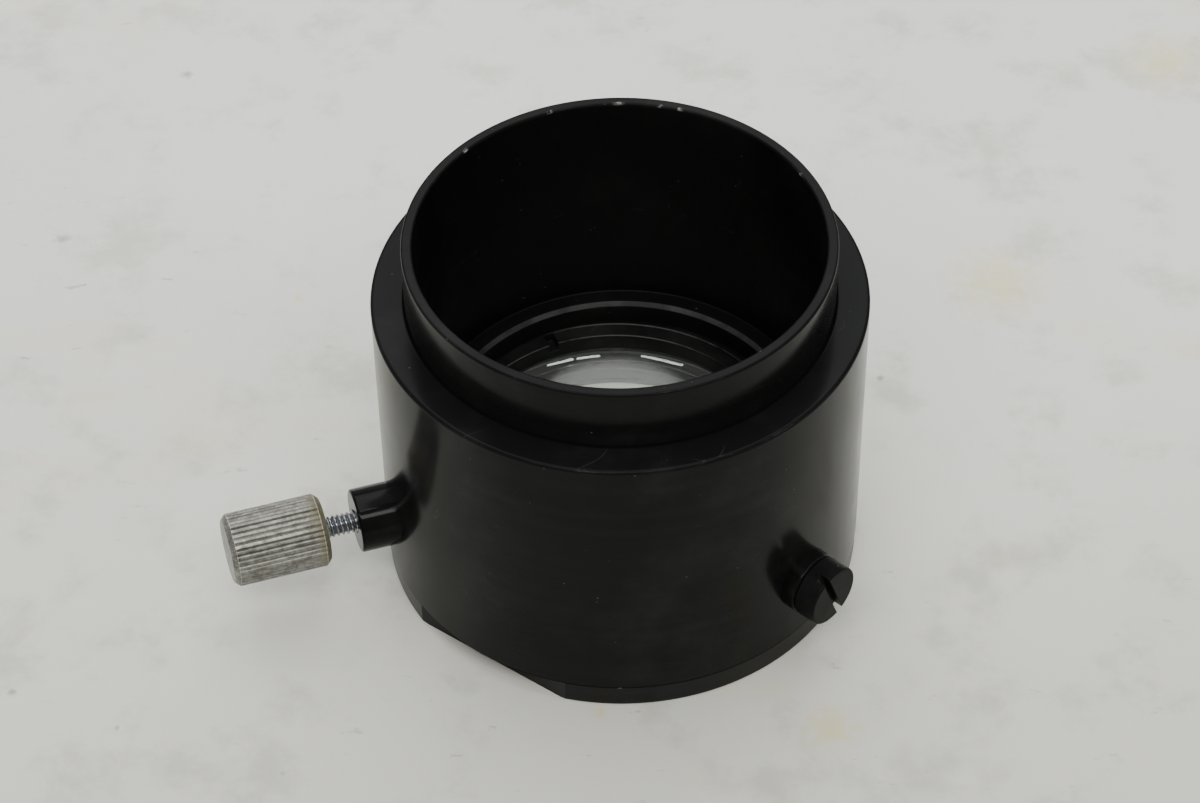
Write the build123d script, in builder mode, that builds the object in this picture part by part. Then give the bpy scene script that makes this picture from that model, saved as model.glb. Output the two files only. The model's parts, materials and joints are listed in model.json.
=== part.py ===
"""Two-inch telescope eyepiece holder with a floating lens cell centred by three radial screws."""

from build123d import *
import os
from math import cos, radians, sin, sqrt

os.makedirs("parts", exist_ok=True)

# ---------------------------------------------------------------------------
# Driving dimensions, in millimetres and degrees.  The main axis is +Z and the
# foot of the base ring is z = 0.
# ---------------------------------------------------------------------------

# Outer barrel: one turned tube with a shoulder, a thin collar and an inner ledge
total_height = 51.7
barrel_diameter = 62.0
shoulder_height = 43.0
shoulder_chamfer = 0.5
collar_diameter = 53.6
socket_diameter = 50.8
rim_chamfer = 0.3
ledge_height = 18.8
ledge_thickness = 3.58
ledge_bore_diameter = 45.7
ledge_chamfer = 0.45
pocket_diameter = 54.0

# Base ring: flange with a pair of spanner flats and a spigot inside the barrel
ring_height = 3.35
ring_diameter = 61.8
ring_flat_distance = 28.7
ring_flat_azimuth = 234.4
spigot_diameter = 53.9
spigot_top = 6.98
spigot_bore_diameter = 48.4
port_diameter = 41.2
port_lip = 1.2
seam_chamfer = 0.15

# Radial screws: no. 4-40 screws at 120 degrees, all at one height
screw_height = 12.85
thumb_azimuth = 197.4
right_azimuth = 317.4
rear_azimuth = 77.4
thread_diameter = 2.84
screw_hole_diameter = 2.9
boss_diameter = 8.3
boss_seat = 30.6
boss_shank_diameter = 4.6
boss_shank_end = 27.05
boss_fit = 0.01
thumb_boss_top = 35.9
short_boss_top = 32.83

# Thumbscrew: knurled knob pressed on a steel stud
knob_inner = 40.0
knob_length = 12.7
knob_diameter = 9.5
knob_ridges = 40
knurl_depth = 0.32
knob_chamfer = 0.7
stud_depth_in_knob = 8.0

# Slotted screws
head_inner = 33.0
head_length = 2.9
head_diameter = 8.2
head_chamfer = 0.3
slot_width = 1.0
slot_depth = 1.3
right_slot_angle = 111.5
rear_slot_angle = 64.0

# Nylon plugs between the screw ends and the lens cell
plug_diameter = 2.8
plug_gap = 0.02
screw_backed_off = 0.15
thumb_plug_outer = 30.5
short_plug_outer = 30.0

# Lens cell: floats in the pocket, resting towards the thumbscrew
cell_offset = 0.85
cell_diameter = 51.2
cell_bottom = 7.0
cell_top = 15.2
cell_chamfer = 0.3
nose_diameter = 44.8
nose_bottom = 1.6
lip_diameter = 38.4
lip_thickness = 1.2
ring_thread_diameter = 45.8

# Optics
field_diameter = 40.5
field_bore_diameter = 40.6
field_edge = 1.7
field_curve = 110.0
pair_diameter = 44.1
pair_bore_diameter = 44.2
pair_seat = 7.4
flint_edge = 3.8
cemented_curve = 90.0
crown_edge = 1.2
crown_curve = 100.0
spacer_bore_diameter = 37.4

# Retaining ring over the lens pair, with two spanner notches
retainer_diameter = 45.7
retainer_bore_diameter = 41.4
notch_width = 1.4
notch_depth = 1.3
notch_azimuth = 113.0


# ---------------------------------------------------------------------------
# Derived places
# ---------------------------------------------------------------------------

thumb_direction = Vector(cos(radians(thumb_azimuth)), sin(radians(thumb_azimuth)), 0)
cell_centre = thumb_direction * cell_offset
thumb_plug_inner = cell_diameter / 2 + cell_offset + plug_gap
short_plug_inner = cell_diameter / 2 + plug_gap + screw_backed_off
field_seat = nose_bottom + lip_thickness


def sagitta(curve, radius):
    """Height of a spherical cap of the given curve over a chord of this radius."""
    return curve - sqrt(curve**2 - radius**2)


def radial_plane(azimuth, distance):
    """Plane that faces outward on a screw's axis, at a distance from the main axis."""
    outward = Vector(cos(radians(azimuth)), sin(radians(azimuth)), 0)
    along = Vector(-sin(radians(azimuth)), cos(radians(azimuth)), 0)
    return Plane(outward * distance + Vector(0, 0, screw_height), x_dir=along, z_dir=outward)


def cell_plane():
    """Upright section plane through the lens cell's own axis."""
    return Plane(cell_centre, x_dir=(1, 0, 0), z_dir=(0, -1, 0))


cell_axis = Axis(cell_centre, (0, 0, 1))


# ---------------------------------------------------------------------------
# Outer barrel
# ---------------------------------------------------------------------------

with BuildPart() as outer_barrel:
    with BuildSketch(Plane.XZ):
        with BuildLine():
            Polyline(
                (barrel_diameter / 2 - seam_chamfer, ring_height),
                (barrel_diameter / 2, ring_height + seam_chamfer),
                (barrel_diameter / 2, shoulder_height - shoulder_chamfer),
                (barrel_diameter / 2 - shoulder_chamfer, shoulder_height),
                (collar_diameter / 2, shoulder_height),
                (collar_diameter / 2, total_height - rim_chamfer),
                (collar_diameter / 2 - rim_chamfer, total_height),
                (socket_diameter / 2 + rim_chamfer, total_height),
                (socket_diameter / 2, total_height - rim_chamfer),
                (socket_diameter / 2, ledge_height),
                (ledge_bore_diameter / 2 + ledge_chamfer, ledge_height),
                (ledge_bore_diameter / 2, ledge_height - ledge_chamfer),
                (ledge_bore_diameter / 2, ledge_height - ledge_thickness),
                (pocket_diameter / 2, ledge_height - ledge_thickness),
                (pocket_diameter / 2, ring_height),
                close=True,
            )
        make_face()
    revolve(axis=Axis.Z)
    for azimuth in (thumb_azimuth, right_azimuth, rear_azimuth):
        with BuildSketch(radial_plane(azimuth, boss_seat)):
            Circle(boss_diameter / 2 + boss_fit)
        extrude(amount=barrel_diameter / 2 - boss_seat + 1, mode=Mode.SUBTRACT)
        with BuildSketch(radial_plane(azimuth, boss_shank_end - 1)):
            Circle(boss_shank_diameter / 2 + boss_fit)
        extrude(amount=boss_seat - boss_shank_end + 2, mode=Mode.SUBTRACT)
outer_barrel.part.label = "outer_barrel"
export_step(outer_barrel.part, "parts/outer_barrel.step")


# ---------------------------------------------------------------------------
# Base ring
# ---------------------------------------------------------------------------

with BuildPart() as base_ring:
    with BuildSketch(Plane.XZ):
        with BuildLine():
            Polyline(
                (port_diameter / 2, 0),
                (ring_diameter / 2 - rim_chamfer, 0),
                (ring_diameter / 2, rim_chamfer),
                (ring_diameter / 2, ring_height - seam_chamfer),
                (ring_diameter / 2 - seam_chamfer, ring_height),
                (spigot_diameter / 2, ring_height),
                (spigot_diameter / 2, spigot_top),
                (spigot_bore_diameter / 2, spigot_top),
                (spigot_bore_diameter / 2, port_lip),
                (port_diameter / 2, port_lip),
                close=True,
            )
        make_face()
    revolve(axis=Axis.Z)
    for side in (0, 180):
        flat = Plane(
            Vector(ring_flat_distance, 0, 0).rotate(Axis.Z, ring_flat_azimuth + side),
            x_dir=Vector(0, 1, 0).rotate(Axis.Z, ring_flat_azimuth + side),
            z_dir=Vector(1, 0, 0).rotate(Axis.Z, ring_flat_azimuth + side),
        )
        with BuildSketch(flat):
            Rectangle(ring_diameter, 2 * ring_height)
        extrude(amount=ring_diameter / 2, mode=Mode.SUBTRACT)
base_ring.part.label = "base_ring"
export_step(base_ring.part, "parts/base_ring.step")


# ---------------------------------------------------------------------------
# Threaded bosses, set in flat seats in the barrel wall
# ---------------------------------------------------------------------------

def make_boss(azimuth, top, label):
    """Round boss with a shank through the wall and a hole for the screw."""
    with BuildPart() as boss:
        with BuildSketch(radial_plane(azimuth, boss_seat)):
            Circle(boss_diameter / 2)
        extrude(amount=top - boss_seat)
        chamfer(boss.faces().sort_by(Axis((0, 0, 0), radial_plane(azimuth, 0).z_dir))[-1].edges(), 0.3)
        with BuildSketch(radial_plane(azimuth, boss_shank_end)):
            Circle(boss_shank_diameter / 2)
        extrude(amount=boss_seat - boss_shank_end)
        with BuildSketch(radial_plane(azimuth, boss_shank_end)):
            Circle(screw_hole_diameter / 2)
        extrude(amount=top - boss_shank_end, mode=Mode.SUBTRACT)
    boss.part.label = label
    return boss.part


for azimuth, top, label in (
    (thumb_azimuth, thumb_boss_top, "thumb_boss"),
    (right_azimuth, short_boss_top, "right_boss"),
    (rear_azimuth, short_boss_top, "rear_boss"),
):
    export_step(make_boss(azimuth, top, label), f"parts/{label}.step")


# ---------------------------------------------------------------------------
# Thumbscrew: straight-knurled knob on a steel stud
# ---------------------------------------------------------------------------

with BuildPart() as thumb_knob:
    with BuildSketch(radial_plane(thumb_azimuth, knob_inner)):
        with BuildLine():
            Polyline(
                [
                    Vector(knob_diameter / 2 - knurl_depth * (tooth % 2), 0).rotate(
                        Axis.Z, 180 / knob_ridges * tooth
                    )
                    for tooth in range(2 * knob_ridges)
                ],
                close=True,
            )
        make_face()
    extrude(amount=knob_length)
    with BuildSketch(Plane.XZ) as knob_blank:
        with BuildLine():
            Polyline(
                (0, 0),
                (knob_diameter / 2 - knob_chamfer, 0),
                (knob_diameter / 2, knob_chamfer),
                (knob_diameter / 2, knob_length - knob_chamfer),
                (knob_diameter / 2 - knob_chamfer, knob_length),
                (0, knob_length),
                close=True,
            )
        make_face()
    blank = revolve(knob_blank.sketch, axis=Axis.Z, mode=Mode.PRIVATE)
    add(radial_plane(thumb_azimuth, knob_inner).location * blank, mode=Mode.INTERSECT)
    with BuildSketch(radial_plane(thumb_azimuth, knob_inner)):
        Circle(thread_diameter / 2)
    extrude(amount=stud_depth_in_knob, mode=Mode.SUBTRACT)
thumb_knob.part.label = "thumb_knob"
export_step(thumb_knob.part, "parts/thumb_knob.step")

with BuildPart() as thumb_stud:
    with BuildSketch(radial_plane(thumb_azimuth, thumb_plug_outer + plug_gap)):
        Circle(thread_diameter / 2)
    extrude(amount=knob_inner + stud_depth_in_knob - thumb_plug_outer - plug_gap)
thumb_stud.part.label = "thumb_stud"
export_step(thumb_stud.part, "parts/thumb_stud.step")


# ---------------------------------------------------------------------------
# Slotted screws
# ---------------------------------------------------------------------------

def make_slotted_screw(azimuth, slot_angle, label):
    """Cheese-head screw with a slot across its whole head."""
    with BuildPart() as screw:
        with BuildSketch(radial_plane(azimuth, short_plug_outer + plug_gap)):
            Circle(thread_diameter / 2)
        extrude(amount=head_inner - short_plug_outer - plug_gap)
        with BuildSketch(radial_plane(azimuth, head_inner)):
            Circle(head_diameter / 2)
        extrude(amount=head_length)
        chamfer(
            screw.faces().sort_by(Axis((0, 0, 0), radial_plane(azimuth, 0).z_dir))[-1].edges(),
            head_chamfer,
        )
        with BuildSketch(radial_plane(azimuth, head_inner + head_length)):
            Rectangle(2 * head_diameter, slot_width, rotation=slot_angle)
        extrude(amount=-slot_depth, mode=Mode.SUBTRACT)
    screw.part.label = label
    return screw.part


for azimuth, slot_angle, label in (
    (right_azimuth, right_slot_angle, "right_screw"),
    (rear_azimuth, rear_slot_angle, "rear_screw"),
):
    export_step(make_slotted_screw(azimuth, slot_angle, label), f"parts/{label}.step")


# ---------------------------------------------------------------------------
# Nylon plugs that press on the lens cell
# ---------------------------------------------------------------------------

def make_plug(azimuth, inner, outer, label):
    """Soft round plug that slides in a boss ahead of the screw."""
    with BuildPart() as plug:
        with BuildSketch(radial_plane(azimuth, inner)):
            Circle(plug_diameter / 2)
        extrude(amount=outer - inner)
    plug.part.label = label
    return plug.part


for azimuth, inner, outer, label in (
    (thumb_azimuth, thumb_plug_inner, thumb_plug_outer, "thumb_plug"),
    (right_azimuth, short_plug_inner, short_plug_outer, "right_plug"),
    (rear_azimuth, short_plug_inner, short_plug_outer, "rear_plug"),
):
    export_step(make_plug(azimuth, inner, outer, label), f"parts/{label}.step")


# ---------------------------------------------------------------------------
# Lens cell
# ---------------------------------------------------------------------------

crown_seat = pair_seat + flint_edge
crown_rim = crown_seat + crown_edge
retainer_seat = (
    crown_rim
    + sagitta(crown_curve, pair_diameter / 2)
    - sagitta(crown_curve, retainer_bore_diameter / 2)
)

with BuildPart() as lens_cell:
    with BuildSketch(cell_plane()):
        with BuildLine():
            Polyline(
                (lip_diameter / 2, nose_bottom),
                (nose_diameter / 2, nose_bottom),
                (nose_diameter / 2, cell_bottom),
                (cell_diameter / 2, cell_bottom),
                (cell_diameter / 2, cell_top - cell_chamfer),
                (cell_diameter / 2 - cell_chamfer, cell_top),
                (ring_thread_diameter / 2 + cell_chamfer, cell_top),
                (ring_thread_diameter / 2, cell_top - cell_chamfer),
                (ring_thread_diameter / 2, crown_rim),
                (pair_bore_diameter / 2, crown_rim),
                (pair_bore_diameter / 2, pair_seat),
                (field_bore_diameter / 2, pair_seat),
                (field_bore_diameter / 2, field_seat),
                (lip_diameter / 2, field_seat),
                close=True,
            )
        make_face()
    revolve(axis=cell_axis)
lens_cell.part.label = "lens_cell"
export_step(lens_cell.part, "parts/lens_cell.step")


# ---------------------------------------------------------------------------
# Lenses: a plano-convex field lens, and a cemented pair above it
# ---------------------------------------------------------------------------

with BuildPart() as field_lens:
    rise = sagitta(field_curve, field_diameter / 2)
    with BuildSketch(cell_plane()):
        with BuildLine():
            rim = Line((field_diameter / 2, field_seat), (field_diameter / 2, field_seat + field_edge))
            Polyline((0, field_seat + field_edge + rise), (0, field_seat), rim @ 0)
            RadiusArc(rim @ 1, (0, field_seat + field_edge + rise), -field_curve)
        make_face()
    revolve(axis=cell_axis)
field_lens.part.label = "field_lens"
export_step(field_lens.part, "parts/field_lens.step")

with BuildPart() as lens_spacer:
    spacer_foot = field_seat + field_edge + rise - sagitta(field_curve, spacer_bore_diameter / 2)
    with BuildSketch(cell_plane()):
        with BuildLine():
            Polyline(
                (spacer_bore_diameter / 2, spacer_foot),
                (field_diameter / 2, spacer_foot),
                (field_diameter / 2, pair_seat),
                (spacer_bore_diameter / 2, pair_seat),
                close=True,
            )
        make_face()
    revolve(axis=cell_axis)
lens_spacer.part.label = "lens_spacer"
export_step(lens_spacer.part, "parts/lens_spacer.step")

with BuildPart() as flint_lens:
    dip = sagitta(cemented_curve, pair_diameter / 2)
    with BuildSketch(cell_plane()):
        with BuildLine():
            rim = Line((pair_diameter / 2, pair_seat), (pair_diameter / 2, crown_seat))
            Polyline((0, crown_seat - dip), (0, pair_seat), rim @ 0)
            RadiusArc(rim @ 1, (0, crown_seat - dip), cemented_curve)
        make_face()
    revolve(axis=cell_axis)
flint_lens.part.label = "flint_lens"
export_step(flint_lens.part, "parts/flint_lens.step")

with BuildPart() as crown_lens:
    rise = sagitta(crown_curve, pair_diameter / 2)
    with BuildSketch(cell_plane()):
        with BuildLine():
            rim = Line((pair_diameter / 2, crown_seat), (pair_diameter / 2, crown_rim))
            Line((0, crown_seat - dip), (0, crown_rim + rise))
            RadiusArc(rim @ 0, (0, crown_seat - dip), cemented_curve)
            RadiusArc(rim @ 1, (0, crown_rim + rise), -crown_curve)
        make_face()
    revolve(axis=cell_axis)
crown_lens.part.label = "crown_lens"
export_step(crown_lens.part, "parts/crown_lens.step")


# ---------------------------------------------------------------------------
# Retaining ring
# ---------------------------------------------------------------------------

with BuildPart() as retaining_ring:
    with BuildSketch(cell_plane()):
        with BuildLine():
            Polyline(
                (retainer_bore_diameter / 2, retainer_seat),
                (retainer_diameter / 2, retainer_seat),
                (retainer_diameter / 2, cell_top),
                (retainer_bore_diameter / 2 + cell_chamfer, cell_top),
                (retainer_bore_diameter / 2, cell_top - cell_chamfer),
                close=True,
            )
        make_face()
    revolve(axis=cell_axis)
    with BuildSketch(Plane(cell_centre + Vector(0, 0, cell_top))):
        Rectangle(2 * retainer_diameter, notch_width, rotation=notch_azimuth)
    extrude(amount=-notch_depth, mode=Mode.SUBTRACT)
retaining_ring.part.label = "retaining_ring"
export_step(retaining_ring.part, "parts/retaining_ring.step")
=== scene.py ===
"""A telescope eyepiece body: black turned barrel, floating lens cell and three centring screws.

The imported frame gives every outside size; the sizes that no box can tell are properties below.
"""

import json
import math

import bmesh
import bpy
import numpy as np
from bpy.props import FloatProperty, FloatVectorProperty, IntProperty, PointerProperty
from mathutils import Matrix, Vector


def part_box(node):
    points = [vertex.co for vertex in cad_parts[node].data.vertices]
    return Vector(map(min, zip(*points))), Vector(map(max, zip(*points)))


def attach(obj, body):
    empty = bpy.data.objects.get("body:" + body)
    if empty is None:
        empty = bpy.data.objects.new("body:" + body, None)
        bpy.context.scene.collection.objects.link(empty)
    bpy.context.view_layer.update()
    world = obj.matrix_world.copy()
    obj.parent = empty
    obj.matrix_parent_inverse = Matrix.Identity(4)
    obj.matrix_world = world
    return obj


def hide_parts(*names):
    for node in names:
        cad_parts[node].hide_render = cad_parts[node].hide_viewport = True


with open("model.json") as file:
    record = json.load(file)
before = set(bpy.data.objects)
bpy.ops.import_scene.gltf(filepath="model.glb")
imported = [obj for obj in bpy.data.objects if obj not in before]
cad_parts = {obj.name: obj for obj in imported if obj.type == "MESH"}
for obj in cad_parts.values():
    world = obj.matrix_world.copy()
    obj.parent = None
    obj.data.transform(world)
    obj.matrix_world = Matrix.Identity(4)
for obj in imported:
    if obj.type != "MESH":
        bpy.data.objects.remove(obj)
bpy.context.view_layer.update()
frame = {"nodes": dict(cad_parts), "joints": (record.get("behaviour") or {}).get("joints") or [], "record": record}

bl_info = {
    "name": "Telescope Eyepiece",
    "version": (1, 0, 0),
    "blender": (4, 5, 0),
    "location": "3D View > Sidebar > Eyepiece",
    "description": "Builds a two-inch eyepiece body with its lens cell and centring screws",
    "category": "Add Mesh",
}


# ---------------------------------------------------------------------------
# What the frame says
# ---------------------------------------------------------------------------

JOINTS = {joint["name"]: joint for joint in frame["joints"]}
MOUNTS = {mount["name"]: mount for mount in frame["record"]["mounts"]}
UP = np.array((0.0, 0.0, 1.0))


def corners(node):
    """Lowest and highest corner of a CAD node as two arrays."""
    low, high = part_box(node)
    return np.array(low, float), np.array(high, float)


def half_width(node, axis=0):
    """Half of a CAD node's size along an axis."""
    low, high = corners(node)
    return (high[axis] - low[axis]) / 2


def heights(node):
    """Lowest and highest z of a CAD node."""
    low, high = corners(node)
    return float(low[2]), float(high[2])


def mount_radius(name):
    """Radius of a round mount, in metres."""
    return MOUNTS[name]["dims"]["r_mm"] / 1000


def vertices_of(node):
    """All vertices of a CAD node as an (n, 3) array."""
    mesh = frame["nodes"][node].data
    flat = np.empty(3 * len(mesh.vertices))
    mesh.vertices.foreach_get("co", flat)
    return flat.reshape(-1, 3)


def outward(joint):
    """Unit vector along a screw, away from the barrel."""
    axis = np.array(JOINTS[joint]["axis"], float)
    return axis / np.linalg.norm(axis)


def reach(node, direction):
    """How near and how far a CAD node lies along a direction from the main axis."""
    along = vertices_of(node) @ direction
    return float(along.min()), float(along.max())


SCREW_HEIGHT = float(JOINTS["thumb_turn"]["pos_m"][2])
THUMB = outward("thumb_turn")
RIGHT = outward("right_turn")
REAR = outward("rear_turn")
BARREL_LOW, BARREL_HIGH = corners("outer_barrel")
CELL_LOW, CELL_HIGH = corners("lens_cell")
CELL_CENTRE = (CELL_LOW + CELL_HIGH) / 2 * (1, 1, 0)


# ---------------------------------------------------------------------------
# Sizes and colours that a user may change
# ---------------------------------------------------------------------------


def length(label, note, default):
    """A length property in metres."""
    return FloatProperty(name=label, description=note, default=default, unit="LENGTH", precision=5)


def angle(label, note, degrees):
    """An angle property, given in degrees."""
    return FloatProperty(name=label, description=note, default=math.radians(degrees), subtype="ANGLE")


def colour(label, note, default):
    """A linear RGBA colour property."""
    return FloatVectorProperty(
        name=label, description=note, default=default, subtype="COLOR", size=4, min=0.0, max=1.0
    )


class EyepieceSizes(bpy.types.PropertyGroup):
    """Sizes of the turned pieces that their boxes don't show."""

    barrel_radius: length("Barrel radius", "Outside of the barrel", BARREL_HIGH[0])
    barrel_top: length("Barrel top", "Height of the rim", BARREL_HIGH[2])
    barrel_foot: length("Barrel foot", "Height of the seam over the base ring", BARREL_LOW[2])
    shoulder_height: length("Shoulder height", "Where the barrel steps in to the collar", 0.043)
    collar_radius: length("Collar radius", "Outside of the collar", mount_radius("collar"))
    socket_radius: length("Socket radius", "Bore of the push-in socket", mount_radius("socket"))
    ledge_height: length("Ledge height", "Top of the ledge that stops the tube", 0.0188)
    ledge_radius: length("Ledge radius", "Opening in the ledge", 0.02285)
    ledge_foot: length("Ledge foot", "Underside of the ledge", 0.01522)
    ledge_chamfer: length("Ledge chamfer", "Chamfer round the ledge's opening", 0.00045)
    pocket_radius: length("Pocket radius", "Bore that the lens cell floats in", 0.027)
    screw_bore: length("Screw bore", "Radius of the holes through the barrel wall", 0.00178)
    edge_break: length("Edge break", "Rounding of the turned edges", 0.00028)

    spigot_radius: length("Spigot radius", "Outside of the ring's spigot", 0.02695)
    spigot_bore: length("Spigot bore", "Inside of the ring's spigot", 0.0242)
    port_radius: length("Port radius", "Light port in the base ring", mount_radius("light_port"))
    port_lip: length("Port lip", "Thickness of the base ring's lip", 0.0012)
    flat_distance: length("Flat distance", "From the axis to each spanner flat", 0.0287)
    flat_azimuth: angle("Flat azimuth", "Direction that the first spanner flat faces", 234.4)

    boss_bore: length("Boss bore", "Radius of the hole in a boss", 0.00145)
    boss_seat: length("Boss seat", "Distance of a boss's seat from the main axis", 0.0306)
    boss_shank: length("Boss shank", "Radius of a boss's shank", 0.00177)

    knurl_ridges: IntProperty(name="Knurl ridges", description="Ridges round the knob", default=40)
    knurl_depth: length("Knurl depth", "Depth of the straight knurl", 0.00032)
    knob_chamfer: length("Knob chamfer", "Chamfer at both ends of the knob", 0.0007)
    thread_pitch: length("Thread pitch", "Advance of the screws in one turn", 0.000635)
    thread_depth: length("Thread depth", "Depth of the screw thread", 0.00036)
    stud_neck: length("Stud neck", "Plain length of the stud below the knob", 0.0003)

    head_length: length("Head length", "Thickness of a slotted head", 0.0029)
    slot_width: length("Slot width", "Width of the screwdriver slot", 0.001)
    slot_depth: length("Slot depth", "Depth of the screwdriver slot", 0.0013)
    right_slot: angle("Right slot", "Turn of the right slot", 111.5)
    rear_slot: angle("Rear slot", "Turn of the rear slot", 64.0)

    nose_radius: length("Nose radius", "Outside of the cell's nose", 0.0224)
    cell_flange: length("Cell flange", "Underside of the cell's wide part", 0.007)
    lip_radius: length("Lip radius", "Opening under the field lens", 0.0192)
    field_seat: length("Field seat", "Height that the field lens rests at", 0.0028)
    pair_seat: length("Pair seat", "Height that the lens pair rests at", 0.0074)
    pair_edge: length("Pair edge", "Height of the lens pair's top edge", 0.0124)
    spacer_bore: length("Spacer bore", "Inside of the spacer between the lenses", 0.0187)
    retainer_bore: length("Retainer bore", "Inside of the notched retaining ring", 0.0207)
    ring_thread: length("Ring thread", "Radius of the thread over the lens pair", 0.0229)
    notch_width: length("Notch width", "Width of a spanner notch", 0.0014)
    notch_depth: length("Notch depth", "Depth of a spanner notch", 0.0013)
    notch_azimuth: angle("Notch azimuth", "Direction of the first notch", 113)
    field_curve: length("Field curve", "Radius of the field lens's curved face", 0.110)
    cemented_curve: length("Cemented curve", "Radius of the cemented faces", 0.090)
    crown_curve: length("Crown curve", "Radius of the crown lens's top face", 0.100)


class EyepieceFinish(bpy.types.PropertyGroup):
    """Colours of the finishes."""

    anodise: colour("Anodise", "Satin black of the barrel", (0.005, 0.0051, 0.0052, 1))
    worn_anodise: colour("Worn anodise", "Rubbed black on the edges", (0.055, 0.057, 0.056, 1))
    bare_metal: colour("Bare metal", "Aluminium under the black", (0.62, 0.62, 0.60, 1))
    bore_black: colour("Bore black", "Matt black inside the socket", (0.0035, 0.0034, 0.0035, 1))
    dust: colour("Dust", "Dust and lint", (0.32, 0.33, 0.31, 1))
    knob_metal: colour("Knob metal", "Dull aluminium", (0.315, 0.315, 0.297, 1))
    grime: colour("Grime", "Old grease in the knurl", (0.115, 0.10, 0.040, 1))
    steel: colour("Steel", "Plated steel thread", (0.42, 0.44, 0.47, 1))
    nylon: colour("Nylon", "Plugs on the cell", (0.70, 0.67, 0.58, 1))
    table: colour("Table", "Pale worn table top", (0.89, 0.89, 0.835, 1))


# ---------------------------------------------------------------------------
# Surfaces
# ---------------------------------------------------------------------------

# Points round each kind of turned piece.
BARREL_COLUMNS = 360
CELL_COLUMNS = 240
BOSS_COLUMNS = 96
ROD_COLUMNS = 48
# Lengths, in metres here and everywhere below.
HOLD = 0.00025
SAME_PLACE = 1e-7
MERGE_DISTANCE = 2e-7

def rounded(points, radius, steps=5):
    """Closed outline with every corner turned into an arc.

    For a corner between unit edges u and v with half angle h, the arc's centre lies on the
    bisector at radius / sin h and touches both edges radius / tan h away from the corner.
    A holding point just outside each end of the arc keeps the flats flat when shaded.
    Returns the outline and how sharp it turns outwards at each point, from -1 to 1.
    """
    points = np.array(points, float)
    radius = np.broadcast_to(np.array(radius, float), len(points))[:, None]
    back = np.roll(points, 1, axis=0) - points
    ahead = np.roll(points, -1, axis=0) - points
    back_length = np.linalg.norm(back, axis=1, keepdims=True)
    ahead_length = np.linalg.norm(ahead, axis=1, keepdims=True)
    back = back / back_length
    ahead = ahead / ahead_length
    half = np.arccos(np.clip((back * ahead).sum(1, keepdims=True), -0.99999, 0.99999)) / 2
    setback = np.minimum(radius / np.tan(half), 0.45 * np.minimum(back_length, ahead_length))
    radius = setback * np.tan(half)
    bisector = back + ahead
    bisector = bisector / np.linalg.norm(bisector, axis=1, keepdims=True)
    centre = points + bisector * radius / np.sin(half)
    start = points + back * setback - centre
    end = points + ahead * setback - centre
    sweep = math.pi - 2 * half
    part = np.linspace(0, 1, steps)[None, :, None]
    sweep = sweep[:, None, :]
    arc = centre[:, None, :] + (
        np.sin((1 - part) * sweep) * start[:, None, :] + np.sin(part * sweep) * end[:, None, :]
    ) / np.sin(sweep)
    room = np.minimum(HOLD, 0.3 * np.minimum(back_length, ahead_length))
    first = points + back * (setback + room * 0.5)
    last = points + ahead * (setback + room * 0.5)
    outline = np.concatenate((first[:, None, :], arc, last[:, None, :]), axis=1).reshape(-1, 2)
    turn = np.sign(-(back[:, 0] * ahead[:, 1] - back[:, 1] * ahead[:, 0]))
    weight = np.concatenate(([0.0], np.sin(math.pi * np.linspace(0.12, 0.88, steps)), [0.0]))
    return outline, (turn[:, None] * weight[None, :]).reshape(-1)


def subdivided(outline, edge, longest):
    """Splits the long runs of a closed outline into equal parts no longer than given."""
    after = np.roll(outline, -1, axis=0)
    edge_after = np.roll(edge, -1)
    parts = np.maximum(1, np.ceil(np.linalg.norm(after - outline, axis=1) / longest)).astype(int)
    owner = np.repeat(np.arange(len(outline)), parts)
    step = (np.arange(parts.sum()) - np.repeat(np.cumsum(parts) - parts, parts)) / parts[owner]
    fine = outline[owner] + (after - outline)[owner] * step[:, None]
    return fine, edge[owner] * (1 - step) + edge_after[owner] * step


def profile(points, radius, longest, steps=5):
    """Rounded outline with its long runs split, and its edge marks."""
    return subdivided(*rounded(points, radius, steps), longest)


def axes_across(direction):
    """Two unit vectors square to a direction: one level where it can be, one upright."""
    direction = np.array(direction, float)
    if abs(direction[2]) > 0.9:
        return np.array((1.0, 0.0, 0.0)), np.array((0.0, 1.0, 0.0))
    level = np.cross(UP, direction)
    level = level / np.linalg.norm(level)
    return level, np.cross(direction, level)


def grid_faces(rows, columns, close_rows, close_columns):
    """Quads of a grid of rows x columns vertices, as an (n, 4) index array."""
    i = np.arange(rows if close_rows else rows - 1)
    j = np.arange(columns if close_columns else columns - 1)
    i, j = np.meshgrid(i, j, indexing="ij")
    i, j = i.ravel(), j.ravel()
    i2, j2 = (i + 1) % rows, (j + 1) % columns
    return np.stack((i * columns + j, i * columns + j2, i2 * columns + j2, i2 * columns + j), axis=1)


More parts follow.
